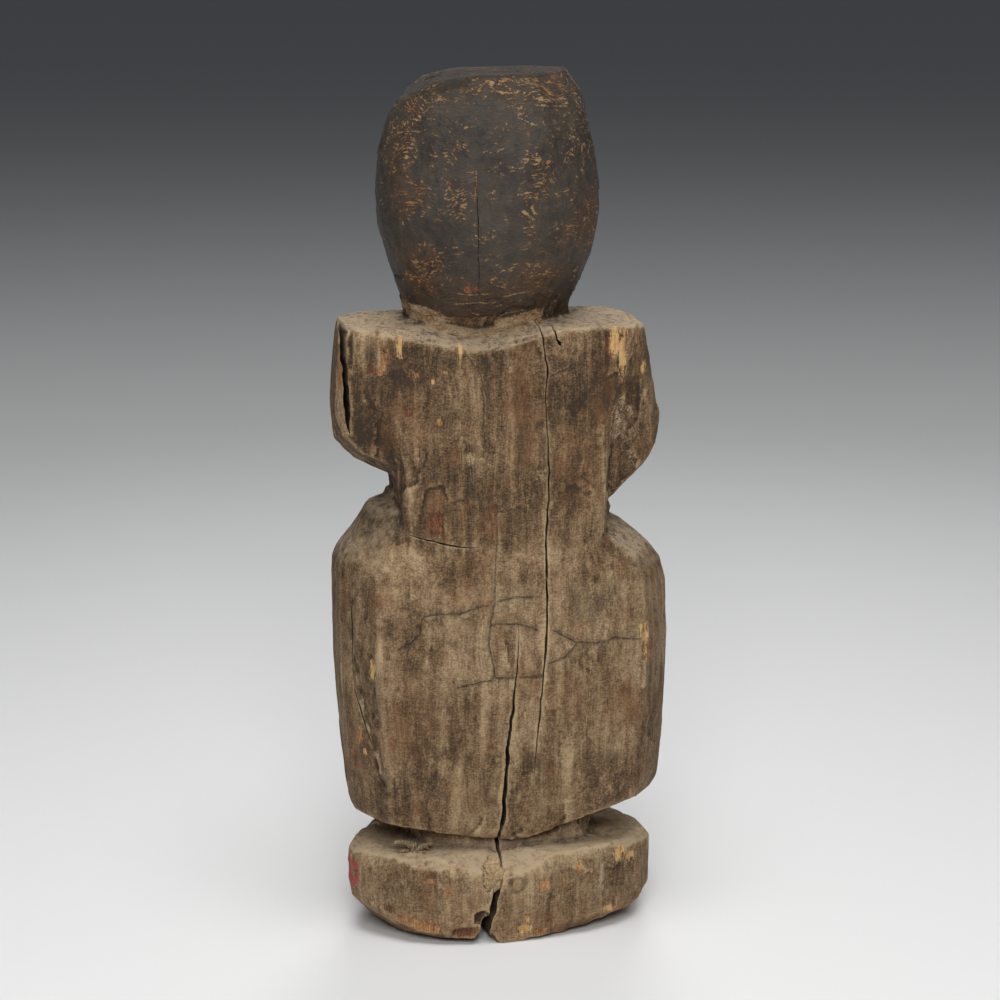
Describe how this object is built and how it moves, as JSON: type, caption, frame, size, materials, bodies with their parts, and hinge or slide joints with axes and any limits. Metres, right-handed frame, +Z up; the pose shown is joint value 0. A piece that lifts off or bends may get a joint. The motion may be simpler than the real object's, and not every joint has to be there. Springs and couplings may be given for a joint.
{
  "type": "guardian figure",
  "caption": "Squat guardian figure hewn from one block of dark wood, with a flat-topped head, palms together, a flared robe and a low oval base.",
  "frame": {"origin": "middle of the flat sole under the base, on the surface that the figure stands on", "axes": "+Z up, -Y the way the figure faces, +X to the figure's left hand"},
  "size_m": [0.1652, 0.1124, 0.4195],
  "materials": {
    "wood": "bare, weathered and smoke-darkened, with a dull worn sheen on the head"
  },
  "bodies": {
    "root": {"guardian_figure": "wood"}
  },
  "joints": []
}
